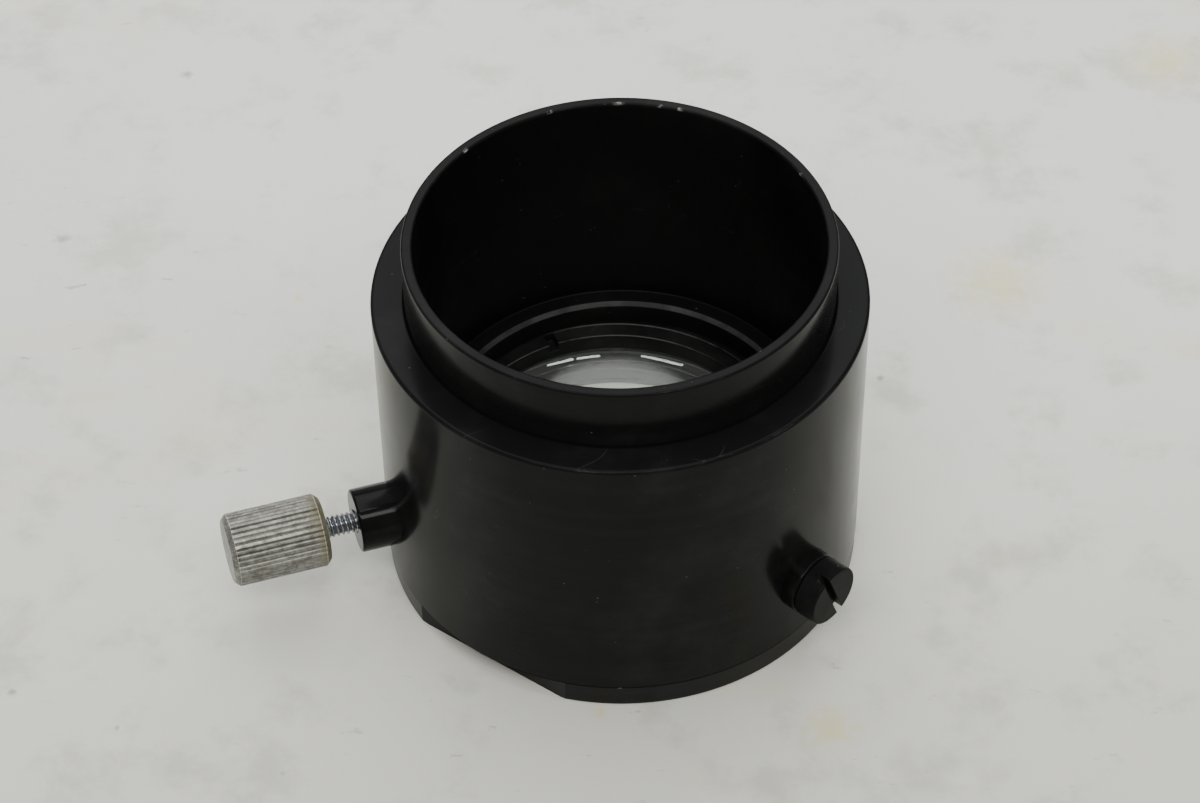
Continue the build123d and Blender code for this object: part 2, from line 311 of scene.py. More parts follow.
def make_piece(name, points, faces, body, nodes, materials, marks=None, second=None, sharp=35.0):
    """Mesh object from arrays, at the origin, that rides on a body and stands for CAD nodes.

    faces is an (n, 3) or (n, 4) index array. Points that no face uses are dropped, points closer
    than a fifth of a micron are merged, and all faces are turned outwards. second marks the
    faces that take the second material. Edges that bend more than sharp degrees stay crisp.
    """
    used = np.unique(faces)
    faces = np.searchsorted(used, faces)
    mesh = bpy.data.meshes.new(name)
    mesh.from_pydata(points[used].tolist(), [], faces.tolist())
    for label, values in (marks or {}).items():
        layer = mesh.attributes.new(label, "FLOAT", "POINT")
        layer.data.foreach_set("value", np.asarray(values, np.float32).reshape(-1)[used])
    for entry in materials:
        mesh.materials.append(entry)
    if second is not None:
        mesh.polygons.foreach_set("material_index", np.asarray(second, np.int32))
    mesh.polygons.foreach_set("use_smooth", np.ones(len(faces), bool))
    work = bmesh.new()
    work.from_mesh(mesh)
    bmesh.ops.remove_doubles(work, verts=work.verts, dist=MERGE_DISTANCE)
    bmesh.ops.recalc_face_normals(work, faces=work.faces)
    work.to_mesh(mesh)
    work.free()
    mesh.set_sharp_from_angle(angle=math.radians(sharp))
    mesh.update()
    piece = bpy.data.objects.new(name, mesh)
    bpy.context.collection.objects.link(piece)
    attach(piece, body)
    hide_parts(*nodes)
    return piece


def even_angles(columns):
    """Equal steps round a full turn."""
    return np.linspace(0, 2 * math.pi, columns, endpoint=False)


def turned(outline, origin, direction, angles, shape=None):
    """Closed outline of (radius, height) carried round an axis.

    point(s, t) = origin + direction * height(s) + radius(s) * (level cos t + upright sin t),
    where shape(angles, radius, height) may change both for each point. Faces that lie on the
    axis are left out, so a solid's outline runs along it.
    """
    level, upright = axes_across(direction)
    radius = np.repeat(outline[:, :1], len(angles), axis=1)
    height = np.repeat(outline[:, 1:], len(angles), axis=1)
    if shape is not None:
        radius, height = shape(angles[None, :], radius, height)
    around = level * np.cos(angles)[:, None] + upright * np.sin(angles)[:, None]
    points = np.array(origin) + height[:, :, None] * np.array(direction) + radius[:, :, None] * around
    faces = grid_faces(len(outline), len(angles), True, True)
    axial = outline[:, 0] < 1e-9
    on_axis = axial[faces[:, 0] // len(angles)] & axial[faces[:, 2] // len(angles)]
    return points.reshape(-1, 3), faces[~on_axis]


def round_the_axis(values, columns):
    """One value for each outline point, repeated for every column."""
    return np.repeat(np.asarray(values)[:, None], columns, axis=1)


def sagitta(curve, radius):
    """Height of a spherical cap of this curve over a chord of this radius."""
    return curve - np.sqrt(curve**2 - radius**2)


# ---------------------------------------------------------------------------
# Barrel wall with its screw holes
# ---------------------------------------------------------------------------

# Half width of the square window round a hole, the inner part of it that becomes the circle, and
# the steps of the rows and columns across it.
HOLE_WINDOW = 0.0019
INNER = 0.62
HOLE_STEPS = np.concatenate(([-1, -0.87, -0.74], np.linspace(-INNER, INNER, 9), [0.74, 0.87, 1]))
IN_INNER = np.abs(HOLE_STEPS) <= INNER + 1e-9
WINDOW_MARGIN = 0.006


def with_hole_rows(outline, edge, radius, rising):
    """Outline whose run at this radius has rows at the hole's steps. Returns their first index too."""
    heights = SCREW_HEIGHT + HOLE_WINDOW * (HOLE_STEPS if rising else HOLE_STEPS[::-1])
    in_window = (np.abs(outline[:, 0] - radius) < SAME_PLACE) & (
        np.abs(outline[:, 1] - SCREW_HEIGHT) <= HOLE_WINDOW * 1.001
    )
    first = int(np.argmax(in_window))
    rows = np.stack((np.full(len(heights), radius), heights), axis=1)
    outline = np.insert(outline[~in_window], first, rows, axis=0)
    edge = np.insert(edge[~in_window], first, np.zeros(len(heights)))
    return outline, edge, first


def hole_columns(radius, azimuths):
    """Even angles, but at the hole's steps across each screw. Returns the windows' columns too."""
    reach_round = HOLE_WINDOW / radius
    plain = even_angles(BARREL_COLUMNS)
    turns = [(plain - azimuth + math.pi) % (2 * math.pi) - math.pi for azimuth in azimuths]
    clear = np.all([np.abs(turn) > reach_round + WINDOW_MARGIN for turn in turns], axis=0)
    windows = [(azimuth + reach_round * HOLE_STEPS) % (2 * math.pi) for azimuth in azimuths]
    angles = np.sort(np.concatenate([plain[clear], *windows]))
    return angles, [np.searchsorted(angles, window - 1e-9) for window in windows]


def pulled_round(wall, azimuth, radius, bore, rising):
    """Wall points of one window moved so that its inner square becomes the hole's circle.

    With p and q the steps across and up, m = max(|p|, |q|) and n = hypot(p, q), the inner square's
    point in a direction goes to bore * (p, q) / n, and the shift fades to nothing at m = 1. The
    point then lies on the wall at angle azimuth + asin(across / radius).
    """
    p = HOLE_STEPS[None, :]
    q = (HOLE_STEPS if rising else HOLE_STEPS[::-1])[:, None]
    m = np.maximum(np.maximum(np.abs(p), np.abs(q)), 1e-9)
    n = np.maximum(np.hypot(p, q), 1e-9)
    fade = np.clip((1 - m) / (1 - INNER), 0, 1)
    spread = HOLE_WINDOW / wall
    across = radius * np.sin(spread * p) + fade * (
        bore * p / n - radius * np.sin(spread * p * INNER / m)
    )
    up = HOLE_WINDOW * q + fade * (bore * q / n - HOLE_WINDOW * q * INNER / m)
    angle = azimuth + np.arcsin(across / radius)
    return np.stack((radius * np.cos(angle), radius * np.sin(angle), SCREW_HEIGHT + up), axis=-1)


def square_rim(block):
    """Indices round the inner square of a window's index block, rows upwards and columns across."""
    square = block[np.ix_(IN_INNER, IN_INNER)]
    return np.concatenate((square[0, :-1], square[:-1, -1], square[-1, :0:-1], square[:0:-1, 0]))


# How far round the curve into the seam the painted seam shade reaches, as a share of the edge break.
SEAM_SHADE_REACH = 0.42


def with_painted_seam_shade(edge, outline, sizes):
    """Edge marks turned to -1 where the outline curves into the seam over the base ring, so that the seam is
    painted black as the shade in the gap.
    """
    off = np.hypot(outline[:, 0] - sizes.barrel_radius, outline[:, 1] - sizes.barrel_foot)
    return np.where(off < SEAM_SHADE_REACH * sizes.edge_break, -1.0, edge)


# Azimuth and half width in degrees.
RUBBED_SPOTS = ((90, 0.7), (78, 0.4), (72, 0.3), (110, 0.4), (139, 0.4))


def rubbed_spots(angles):
    """How far each angle lies in a bare spot: exp(-(angle off it / half width)^2), the largest."""
    spots = np.radians(RUBBED_SPOTS)
    away = (angles[:, None] - spots[:, 0] + math.pi) % (2 * math.pi) - math.pi
    return np.exp(-((away / spots[:, 1]) ** 2)).max(axis=1)


def barrel_surface(sizes):
    """Points, faces, edge marks, rim spots and inside faces of the barrel with its screw holes."""
    outline, edge = profile(
        [
            (sizes.barrel_radius, sizes.barrel_foot),
            (sizes.barrel_radius, sizes.shoulder_height),
            (sizes.collar_radius, sizes.shoulder_height),
            (sizes.collar_radius, sizes.barrel_top),
            (sizes.socket_radius, sizes.barrel_top),
            (sizes.socket_radius, sizes.ledge_height),
            (sizes.ledge_radius + sizes.ledge_chamfer, sizes.ledge_height),
            (sizes.ledge_radius, sizes.ledge_height - sizes.ledge_chamfer),
            (sizes.ledge_radius, sizes.ledge_foot),
            (sizes.pocket_radius, sizes.ledge_foot),
            (sizes.pocket_radius, sizes.barrel_foot),
        ],
        sizes.edge_break * np.array((0.4, 1.5, 1.1, 1, 1, 0.6, 0.3, 0.3, 1, 0.6, 0.5)),
        0.003,
    )
    edge = with_painted_seam_shade(edge, outline, sizes)
    # The ledge's chamfer takes the full edge mark, so the bore finish paints it lighter: wear, and also a painted
    # highlight along the ledge.
    on_chamfer = (np.abs(outline[:, 1] - sizes.ledge_height) < 1.1 * sizes.ledge_chamfer) & (
        outline[:, 0] < sizes.ledge_radius + 1.1 * sizes.ledge_chamfer
    )
    edge = np.where(on_chamfer, 1.0, edge)
    outline, edge, outer_row = with_hole_rows(outline, edge, sizes.barrel_radius, True)
    outline, edge, inner_row = with_hole_rows(outline, edge, sizes.pocket_radius, False)
    screws = (THUMB, RIGHT, REAR)
    azimuths = [math.atan2(screw[1], screw[0]) % (2 * math.pi) for screw in screws]
    angles, windows = hole_columns(sizes.barrel_radius, azimuths)
    points, faces = turned(outline, (0, 0, 0), UP, angles)
    row_of_face = faces[:, 0] // len(angles)
    first_inside = int(np.argmax(outline[:, 0] <= sizes.socket_radius + SAME_PLACE))
    inside = (row_of_face >= first_inside) & (row_of_face < len(outline) - 2)
    marks = round_the_axis(edge, len(angles)).reshape(-1)
    on_rim = (outline[:, 1] > sizes.barrel_top - sizes.edge_break) & (
        outline[:, 0] < sizes.socket_radius + 1.2 * sizes.edge_break
    )
    spots = (on_rim[:, None] * rubbed_spots(angles)).reshape(-1)
    grid = np.arange(len(points)).reshape(len(outline), len(angles))
    rows = np.arange(len(HOLE_STEPS))
    in_square = np.zeros(len(points), bool)
    tunnels = []
    for azimuth, columns in zip(azimuths, windows):
        rims = []
        for first, radius, rising in (
            (outer_row, sizes.barrel_radius, True),
            (inner_row, sizes.pocket_radius, False),
        ):
            block = grid[np.ix_(first + rows, columns)]
            points[block] = pulled_round(sizes.barrel_radius, azimuth, radius, sizes.screw_bore, rising)
            in_square[block[np.ix_(IN_INNER, IN_INNER)]] = True
            rims.append(square_rim(block if rising else block[::-1]))
        outer, inner = rims
        tunnels.append(np.stack((outer, np.roll(outer, -1), np.roll(inner, -1), inner), axis=1))
    kept = ~in_square[faces].all(axis=1)
    faces = np.concatenate((faces[kept], *tunnels))
    inside = np.concatenate((inside[kept], np.ones(len(faces) - kept.sum(), bool)))
    return points, faces, marks, spots, inside


# ---------------------------------------------------------------------------
# Screws
# ---------------------------------------------------------------------------


# Rows in one turn of the thread, and lengths: the first row above the end, how far a rod goes into
# its head, the play in a boss's bore, and the plain part under a slotted head.
ROWS_PER_TURN = 12
ROD_END_STEP = 0.00005
HEAD_OVERLAP = 0.0003
THREAD_GAP = 0.00003
SCREW_NECK = 0.0012


def threaded_rod(near, far, radius, sizes, direction, neck):
    """Rod along a screw's direction with a right-hand thread as far as its neck.

    radius(z, t) = rod - depth * fade(z) * groove(u), where u is the fraction of
    z / pitch - t / 2 pi and the groove is a vee with a narrow flat crest.
    """
    rows = int((far - near) / sizes.thread_pitch * ROWS_PER_TURN)
    wall = np.stack((np.full(rows, radius), np.linspace(near + ROD_END_STEP, far, rows)), axis=1)
    outline = np.concatenate(([(0, near), (radius * 0.8, near)], wall, [(0, far)]))
    angles = even_angles(ROD_COLUMNS)

    def groove(angles, height):
        part = (height / sizes.thread_pitch - angles / (2 * math.pi)) % 1.0
        return np.clip(1.35 * np.abs(2 * part - 1) - 0.2, 0, 1)

    def fade(height):
        return np.clip((far - neck - height) / sizes.thread_pitch, 0, 1)

    def shape(angles, reach_out, height):
        cut = radius - sizes.thread_depth * fade(height) * groove(angles, height)
        return np.minimum(reach_out, cut), height

    points, faces = turned(outline, (0, 0, SCREW_HEIGHT), direction, angles, shape)
    marks = groove(angles[None, :], outline[:, 1:]) * fade(outline[:, 1:])
    return points, faces, {"groove": marks}


COLUMNS_PER_RIDGE = 12


def knurled_knob(near, hole_end, far, radius, bore, sizes):
    """Knob with a straight knurl, a chamfer at each end and a blind hole for the stud.

    radius(z, t) = min(outline, knob - depth * groove(t)), where the groove repeats at every ridge
    as a vee, and the crests between differ in width, height and tilt from ridge to ridge.
    """
    cut = sizes.knob_chamfer
    outline, edge = profile(
        [
            (0, hole_end),
            (bore, hole_end),
            (bore, near),
            (radius - cut, near),
            (radius, near + cut),
            (radius, far - cut),
            (radius - cut, far),
            (0, far),
        ],
        (0, 0.0001, 0.0002, 0.0001, 0.0001, 0.0001, 0.00012, 0),
        0.0009,
    )
    angles = even_angles(COLUMNS_PER_RIDGE * sizes.knurl_ridges)
    turn = sizes.knurl_ridges * angles / (2 * math.pi)
    part = turn % 1.0
    ridge = np.random.default_rng(11).uniform(-1, 1, (3, sizes.knurl_ridges))[:, turn.astype(int)]
    vee = np.clip((1.9 + 0.5 * ridge[0]) * np.abs(2 * part - 1) - 0.9 - 0.4 * ridge[0], 0, 1)
    groove = vee * (0.8 + 0.2 * ridge[1]) + (0.12 * ridge[2] * (part - 0.5) + 0.06) * (1 - vee)

    def shape(angles, reach_out, height):
        return np.minimum(reach_out, radius - sizes.knurl_depth * groove[None, :]), height

    points, faces = turned(outline, (0, 0, SCREW_HEIGHT), THUMB, angles, shape)
    on_knurl = (outline[:, :1] > radius - 0.6 * cut) * np.minimum(groove, 1)[None, :]
    inner_end = np.clip(1 - (outline[:, 1] - near) / (0.32 * (far - near)), 0, 1)
    marks = {"edge": round_the_axis(edge, len(angles)), "inner_end": round_the_axis(inner_end, len(angles))}
    return points, faces, {"groove": on_knurl, **marks}


# The chamfer along a screwdriver slot, and the rounding of a slotted head's rim.
SLOT_CHAMFER = 0.00007
HEAD_ROUNDING = 0.0003


def slotted_head(near, far, radius, sizes, direction, turn):
    """Cheese head with a straight slot across it, as closed loops carried across the slot.

    At the distance q from the slot's middle, the loop is half = sqrt(radius^2 - q^2) long each
    way. Its top stands at far, less the rounding of the rim where hypot(s, q) nears the radius,
    less the small chamfer beside the slot; within the slot it lies at far - depth.
    """
    half_slot = sizes.slot_width / 2
    swing = np.linspace(0, 1, 19)[1:]
    first = half_slot + SLOT_CHAMFER
    start = math.asin(first / radius)
    side = np.concatenate(([half_slot, first], radius * np.sin(start + (math.pi / 2 - start) * swing)))
    slot = np.linspace(-half_slot, half_slot, 5)
    q = np.concatenate((-side[::-1], slot, side))
    in_slot = np.repeat((False, True, False), (len(side), len(slot), len(side)))
    part = np.sin(math.pi / 2 * np.linspace(-1, 1, 41))
    half = np.sqrt(np.maximum(radius**2 - q**2, 0))[:, None]
    s = half * part[None, :]
    over = np.clip(np.hypot(s, q[:, None]) - (radius - HEAD_ROUNDING), 0, HEAD_ROUNDING)
    top = far - HEAD_ROUNDING + np.sqrt(HEAD_ROUNDING**2 - over**2)
    top -= np.clip(SLOT_CHAMFER - (np.abs(q)[:, None] - half_slot), 0, SLOT_CHAMFER)
    top = np.where(in_slot[:, None], far - sizes.slot_depth, top)
    floor_height = np.full((len(q), 1), far - sizes.slot_depth)
    along = np.concatenate((s, half, s[:, ::-1], -half), axis=1)
    height = np.concatenate((np.full_like(s, near), floor_height, top[:, ::-1], floor_height), axis=1)
    level, upright = axes_across(direction)
    slot_way = level * math.cos(turn) + upright * math.sin(turn)
    across_way = upright * math.cos(turn) - level * math.sin(turn)
    points = (
        UP * SCREW_HEIGHT
        + along[..., None] * slot_way
        + np.broadcast_to(q[:, None, None], (*along.shape, 1)) * across_way
        + height[..., None] * direction
    )
    faces = grid_faces(len(q), along.shape[1], False, True)
    face_mark = np.clip((height - near) / (far - near), 0, 1) ** 6
    return points.reshape(-1, 3), faces, face_mark.reshape(-1)


# ---------------------------------------------------------------------------
# Lenses
# ---------------------------------------------------------------------------


# The ground bevel at a lens's rims, the play round a lens, and half of the cemented seam.
LENS_BEVEL = 0.00012
LENS_GAP = 0.00005
CEMENT = 0.00001


def lens_surface(radius, low_edge, high_edge, low_curve, high_curve):
    """Lens about the cell's axis, with a small ground bevel at both rims.

    The faces stand at edge + sagitta(curve, rim) - sagitta(curve, r), with a negative curve for a
    face that bends down and 0 for a flat one. Returns which faces are ground, too.
    """
    rim = radius - LENS_BEVEL
    r = np.linspace(0, rim, 61)

    def bow(curve, r):
        if curve == 0:
            return np.zeros_like(r)
        return math.copysign(1, curve) * (sagitta(abs(curve), rim) - sagitta(abs(curve), r))

    low = np.stack((r, low_edge + bow(low_curve, r)), axis=1)
    high = np.stack((r[::-1], high_edge + bow(high_curve, r[::-1])), axis=1)
    edge = np.array([(radius, low_edge + LENS_BEVEL), (radius, high_edge - LENS_BEVEL)])
    outline = np.concatenate((low, edge, high))
    angles = even_angles(CELL_COLUMNS)
    points, faces = turned(outline, CELL_CENTRE, UP, angles)
    row = faces[:, 0] // len(angles)
    return points, faces, (row >= len(r) - 1) & (row <= len(r) + 1)


# ---------------------------------------------------------------------------
# Finishes
# ---------------------------------------------------------------------------


def shade(tint, factor):
    """Opaque colour scaled by one factor, or by one for each channel."""
    return [*(np.array(tint[:3]) * factor).tolist(), 1]


class Wiring:
    """Short ways to add nodes to one shader tree, with the coordinates that its textures use.

    A value may be a socket, which is linked, or a number, colour or vector, which is set.
    """

    def __init__(self, tree, place=None):
        self.tree = tree
        self.place = place

    def put(self, values, sockets):
        """Links or sets each value at the socket of its name or number."""
        for key, value in values.items():
            if isinstance(value, bpy.types.NodeSocket):
                self.tree.links.new(value, sockets[key])
            else:
                sockets[key].default_value = value

    def node(self, kind, inputs=None, **settings):
        """New node with its settings and inputs."""
        made = self.tree.nodes.new(kind)
        for label, value in settings.items():
            setattr(made, label, value)
        self.put(inputs or {}, made.inputs)
        return made

    def maths(self, operation, first, second=0.0):
        """Result of a math node."""
        return self.node("ShaderNodeMath", {0: first, 1: second}, operation=operation).outputs["Value"]

    def times(self, first, *others):
        """Product of all the values."""
        for other in others:
            first = self.maths("MULTIPLY", first, other)
        return first

    def plus(self, first, second):
        """Sum of two values."""
        return self.maths("ADD", first, second)

    def larger(self, first, second):
        """The larger of two values."""
        return self.maths("MAXIMUM", first, second)

    def apart(self, first, second):
        """Distance between two values."""
        return self.maths("ABSOLUTE", self.maths("SUBTRACT", first, second))

    def ramp(self, value, low, high, out_low=0.0, out_high=1.0):
        """Smooth step of a value between two levels."""
        inputs = {"Value": value, "From Min": low, "From Max": high, "To Min": out_low, "To Max": out_high}
        return self.node("ShaderNodeMapRange", inputs, interpolation_type="SMOOTHSTEP").outputs["Result"]

    def noise(self, scale, detail=4.0, roughness=0.55, stretch=None):
        """Noise value from 0 to 1 about 0.5, stretched by a mapping where one is given."""
        place = self.place
        if stretch is not None:
            place = self.node("ShaderNodeMapping", {"Vector": place, "Scale": stretch}).outputs["Vector"]
        inputs = {"Vector": place, "Scale": scale, "Detail": detail, "Roughness": roughness}
        return self.node("ShaderNodeTexNoise", inputs).outputs["Fac"]

    def blend(self, factor, first, second, kind="MIX"):
        """Colour mixed from two by a factor."""
        inputs = {0: factor, 6: first, 7: second}
        return self.node("ShaderNodeMix", inputs, data_type="RGBA", blend_type=kind).outputs[2]

    def layered(self, tone, *layers):
        """Colour with others laid over it, each given as its mask and its colour."""
        for mask, tint in layers:
            tone = self.blend(mask, tone, tint)
        return tone

    def mark(self, name):
        """Value of a piece's own mark."""
        return self.node("ShaderNodeAttribute", attribute_name=name).outputs["Fac"]

    def group(self, name, **inputs):
        """Outputs of a shared effect, which is made the first time it is asked for."""
        shared = bpy.data.node_groups.get(name) or GROUP_MAKERS[name]()
        return self.node("ShaderNodeGroup", {"Vector": self.place, **inputs}, node_tree=shared).outputs

    def gloss(self, smooth, rough):
        """Smudged roughness between two levels."""
        return self.group("Smudges", Smooth=smooth, Rough=rough)["Roughness"]

    def bump(self, height, strength, distance):
        """Normal bent by a height."""
        inputs = {"Height": height, "Strength": strength, "Distance": distance}
        return self.node("ShaderNodeBump", inputs).outputs["Normal"]


def new_group(name, numbers, outputs):
    """Wiring of a shader group that takes a vector and named numbers, and its two inner ends."""
    tree = bpy.data.node_groups.new(name, "ShaderNodeTree")
    tree.interface.new_socket("Vector", in_out="INPUT", socket_type="NodeSocketVector")
    for label, value in numbers.items():
        socket = tree.interface.new_socket(label, in_out="INPUT", socket_type="NodeSocketFloat")
        socket.default_value = value
    for label in outputs:
        tree.interface.new_socket(label, in_out="OUTPUT", socket_type="NodeSocketFloat")
    nodes = Wiring(tree)
    given = nodes.node("NodeGroupInput").outputs
    nodes.place = given["Vector"]
    return nodes, given, nodes.node("NodeGroupOutput").inputs


def turned_grain_group():
    """Fine lathe lines: noise squeezed along the axis, with a coarser ripple under it."""
    nodes, given, out = new_group("Turned grain", {"Lines": 1.0}, ("Height", "Tone"))
    fine = nodes.noise(1.0, 3.0, 0.7, (40, 40, 9000))
    coarse = nodes.noise(1.0, 2.0, 0.5, (18, 18, 900))
    both = nodes.plus(fine, nodes.times(coarse, 1.3))
    nodes.put({"Height": nodes.times(both, given["Lines"]), "Tone": nodes.ramp(coarse, 0.3, 0.7)}, out)
    return nodes.tree


def worn_edge_group():
    """Masks of rubbed edges and of bright nicks: the piece's edge mark lifted by noise past a threshold."""
    nodes, given, out = new_group("Worn edge", {"Edge": 0.0, "Amount": 0.5}, ("Mask", "Nicks"))
    broad = nodes.noise(110.0, 3.0)
    grain = nodes.noise(900.0, 4.0, 0.6)
    edge = nodes.larger(given["Edge"], 0.0)
    lift = nodes.plus(nodes.times(broad, 0.9), nodes.times(grain, 0.5))
    limit = nodes.maths("SUBTRACT", 1.0, given["Amount"])
    past = nodes.maths("SUBTRACT", nodes.times(edge, lift), limit)
    nicks = nodes.times(edge, nodes.ramp(grain, 0.66, 0.72), nodes.ramp(broad, 0.58, 0.7))
    nodes.put({"Mask": nodes.ramp(past, 0.0, 0.35), "Nicks": nicks}, out)
    return nodes.tree


def dust_group():
    """Mask of settled dust: sparse specks and a faint uneven film."""
    nodes, given, out = new_group("Dust", {"Specks": 0.5, "Film": 0.2}, ("Mask",))
    inputs = {"Vector": nodes.place, "Scale": 1100.0, "Randomness": 1.0}
    distance = nodes.node("ShaderNodeTexVoronoi", inputs).outputs["Distance"]
    near = nodes.ramp(distance, 0.06, 0.16, 1.0, 0.0)
    chosen = nodes.ramp(nodes.noise(420.0, 2.0), 0.62, 0.68)
    film = nodes.times(nodes.ramp(nodes.noise(75.0, 5.0, 0.62), 0.45, 0.8), given["Film"])
    nodes.put({"Mask": nodes.larger(nodes.times(near, chosen, given["Specks"]), film)}, out)
    return nodes.tree


def smudge_group():
    """Uneven gloss: slow noise for handling marks with finer blotches in it."""
    nodes, given, out = new_group("Smudges", {"Smooth": 0.28, "Rough": 0.4}, ("Roughness",))
    slow = nodes.noise(55.0, 3.0, 0.6)
    fine = nodes.noise(320.0, 3.0, 0.6)
    both = nodes.plus(nodes.times(slow, 0.7), nodes.times(fine, 0.3))
    span = nodes.maths("SUBTRACT", given["Rough"], given["Smooth"])
    level = nodes.plus(given["Smooth"], nodes.times(span, nodes.ramp(both, 0.35, 0.65)))
    nodes.put({"Roughness": level}, out)
    return nodes.tree


def scratch_group():
    """Mask of hairline scratches: narrow contour lines of a slow stretched noise, here and there."""
    nodes, given, out = new_group("Scratches", {"Amount": 0.5}, ("Mask",))
    field = nodes.noise(1.0, 1.0, 0.4, (60, 60, 260))
    line = nodes.ramp(nodes.apart(field, 0.5), 0.0, 0.0022, 1.0, 0.0)
    here = nodes.ramp(nodes.noise(90.0, 2.0), 0.56, 0.66)
    nodes.put({"Mask": nodes.times(line, here, given["Amount"])}, out)
    return nodes.tree


GROUP_MAKERS = {
    "Turned grain": turned_grain_group,
    "Worn edge": worn_edge_group,
    "Dust": dust_group,
    "Smudges": smudge_group,
    "Scratches": scratch_group,
}


def new_material(name):
    """Material, the wiring of its tree on the piece's own coordinates, and its main shader's inputs."""
    material = bpy.data.materials.new(name)
    material.use_nodes = True
    nodes = Wiring(material.node_tree)
    nodes.place = nodes.node("ShaderNodeTexCoord").outputs["Object"]
    return material, nodes, material.node_tree.nodes["Principled BSDF"].inputs


def black_finish(name, base, finish, smooth, rough, wear, dust, gloss, lines=1.0):
    """Black anodised aluminium: turned lines, rubbed edges, bright nicks, dust and uneven gloss.

    The edge mark runs from 1 on a sharp edge to -1 in the seam, which is painted dead black, with no specular, as
    the shade in the gap over the base ring.
    """
    material, nodes, shader = new_material(name)
    edge = nodes.mark("edge")
    grain = nodes.group("Turned grain", Lines=lines)
    rubbed = nodes.group("Worn edge", Edge=edge, Amount=wear)
    scratch = nodes.group("Scratches", Amount=0.35)["Mask"]
    settled = nodes.group("Dust", Specks=dust, Film=dust * 0.12)["Mask"]
    spots = nodes.times(nodes.mark("spots"), nodes.ramp(nodes.noise(1500.0), 0.4, 0.6, 0.0, 0.6))
    bare = nodes.larger(spots, rubbed["Nicks"])
    tone = nodes.layered(
        base,
        (nodes.times(grain["Tone"], 0.35), shade(base, 1.9)),
        (rubbed["Mask"], finish.worn_anodise),
        (scratch, finish.worn_anodise),
        (bare, finish.bare_metal),
        (settled, finish.dust),
        # Painted shade: where the edge mark is -1 the seam takes the bore black, and below its specular falls to
        # nothing, for the shadow in the gap.
        (nodes.ramp(edge, -1.0, 0.0, 1.0, 0.0), finish.bore_black),
    )
    dulled = nodes.larger(nodes.gloss(smooth, rough), nodes.times(settled, 0.8))
    shine = nodes.times(nodes.ramp(edge, -1.0, 0.0, 0.0, gloss), nodes.ramp(edge, 0.0, 1.0, 1.0, 0.5))
    nodes.put({"Base Color": tone, "Metallic": nodes.times(bare, 0.5), "Roughness": dulled}, shader)
    nodes.put({"Specular IOR Level": shine, "Normal": nodes.bump(grain["Height"], 0.35, 0.000004)}, shader)
    return material


# Height of the scored line round the socket, and how far it wanders down from there.
SCORED_LINE = 0.0343
SCORED_WANDER = 0.0012


def bore_finish(finish):
    """Matt black inside the socket: rubbed ledge, whose chamfer is painted lighter as wear and as a painted
    highlight, one faint scored line round it and specks of dust.
    """
    material, nodes, shader = new_material("Bore black")
    settled = nodes.group("Dust", Specks=0.32, Film=0.012)["Mask"]
    height = nodes.node("ShaderNodeSeparateXYZ", {"Vector": nodes.place}).outputs["Z"]
    wander = nodes.times(nodes.noise(60.0, 2.0), SCORED_WANDER)
    offset = nodes.apart(nodes.plus(height, wander), SCORED_LINE)
    line = nodes.ramp(offset, 0.00004, 0.00012, 1.0, 0.0)
    scored = nodes.times(line, nodes.ramp(nodes.noise(210.0, 3.0), 0.5, 0.62), 0.35)
    # Rubbed edges are painted lighter by the edge mark; on the ledge's chamfer this is partly a painted highlight.
    rubbed = nodes.times(nodes.mark("edge"), nodes.ramp(nodes.noise(240.0), 0.3, 0.7, 0.3, 0.8))
    worn = finish.worn_anodise
    tone = nodes.layered(finish.bore_black, (scored, worn), (rubbed, worn), (settled, finish.dust))
    grain = nodes.group("Turned grain", Lines=1.0)["Height"]
    nodes.put({"Base Color": tone, "Roughness": nodes.gloss(0.42, 0.58)}, shader)
    nodes.put({"Specular IOR Level": 0.11, "Normal": nodes.bump(grain, 0.5, 0.000006)}, shader)
    return material


def knob_finish(finish):
    """Dull aluminium with fine pitting, dark grease in the knurl and most of it near the stud."""
    material, nodes, shader = new_material("Dull knob aluminium")
    patch = nodes.noise(260.0, 4.0, 0.6)
    fine = nodes.noise(2600.0, 3.0, 0.6)
    blotch = nodes.noise(900.0, 4.0, 0.65)
    depth = nodes.times(nodes.mark("groove"), nodes.ramp(patch, 0.25, 0.7, 0.55, 1.15))
    greasy = nodes.ramp(nodes.plus(nodes.times(nodes.mark("inner_end"), 1.1), patch), 0.75, 1.5)
    soiled = nodes.larger(nodes.times(depth, 0.92), nodes.times(greasy, 0.78))
    rubbed = nodes.group("Worn edge", Edge=nodes.mark("edge"), Amount=0.75)["Mask"]
    tone = nodes.layered(
        finish.knob_metal,
        (nodes.ramp(fine, 0.35, 0.7), shade(finish.knob_metal, 0.62)),
        (nodes.ramp(blotch, 0.42, 0.66, 0.0, 0.75), shade(finish.knob_metal, 0.3)),
        (soiled, finish.grime),
        (nodes.times(rubbed, 0.7), finish.bare_metal),
    )
    dulled = nodes.larger(nodes.gloss(0.34, 0.5), nodes.times(soiled, 0.75))
    skin = nodes.plus(nodes.times(fine, 0.6), patch)
    nodes.put({"Base Color": tone, "Metallic": nodes.ramp(soiled, 0.0, 0.7, 1.0, 0.15)}, shader)
    nodes.put({"Roughness": dulled, "Normal": nodes.bump(skin, 0.5, 0.00003)}, shader)
    return material


def steel_finish(finish):
    """Plated steel thread: bright crests, dark oily roots."""
    material, nodes, shader = new_material("Plated steel thread")
    patch = nodes.noise(700.0, 3.0)
    dirty = nodes.times(nodes.mark("groove"), nodes.ramp(patch, 0.3, 0.7, 0.6, 1.0))
    tone = nodes.blend(dirty, finish.steel, shade(finish.steel, 0.12))
    nodes.put({"Base Color": tone, "Metallic": nodes.ramp(dirty, 0.2, 1.0, 1.0, 0.6)}, shader)
    nodes.put({"Roughness": nodes.gloss(0.2, 0.42), "Normal": nodes.bump(patch, 0.3, 0.00001)}, shader)
    return material


